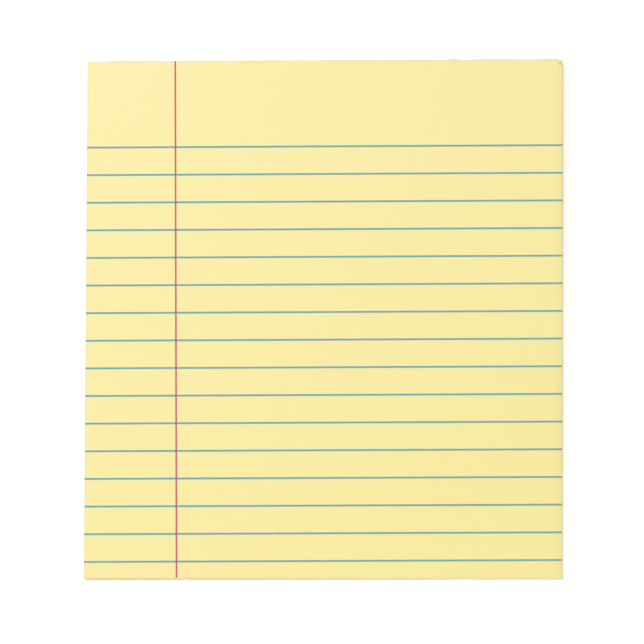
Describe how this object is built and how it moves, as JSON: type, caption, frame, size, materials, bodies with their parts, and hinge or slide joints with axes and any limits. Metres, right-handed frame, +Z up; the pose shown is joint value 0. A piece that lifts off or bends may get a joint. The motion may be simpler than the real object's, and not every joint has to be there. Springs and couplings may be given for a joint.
{
  "type": "legal pad",
  "caption": "Writing pad of yellow ruled sheets glued along the head to a grey board, with blue rules and a red margin line printed on the top sheet.",
  "frame": {"origin": "centre of the board's underside, where the pad rests", "axes": "+Y towards the glued head, +X towards the reader's right, +Z up out of the top sheet"},
  "size_m": [0.1398, 0.1529, 0.0058],
  "materials": {
    "yellow_paper": "uncoated",
    "grey_board": "uncoated recycled board",
    "padding_glue": "dried brushed glue",
    "blue_ink": "printed ink",
    "red_ink": "printed ink"
  },
  "bodies": {
    "root": {"sheet_block": "yellow_paper", "backing_board": "grey_board", "binding_glue": "padding_glue", "ruled_lines": "blue_ink", "margin_line": "red_ink"}
  },
  "joints": []
}
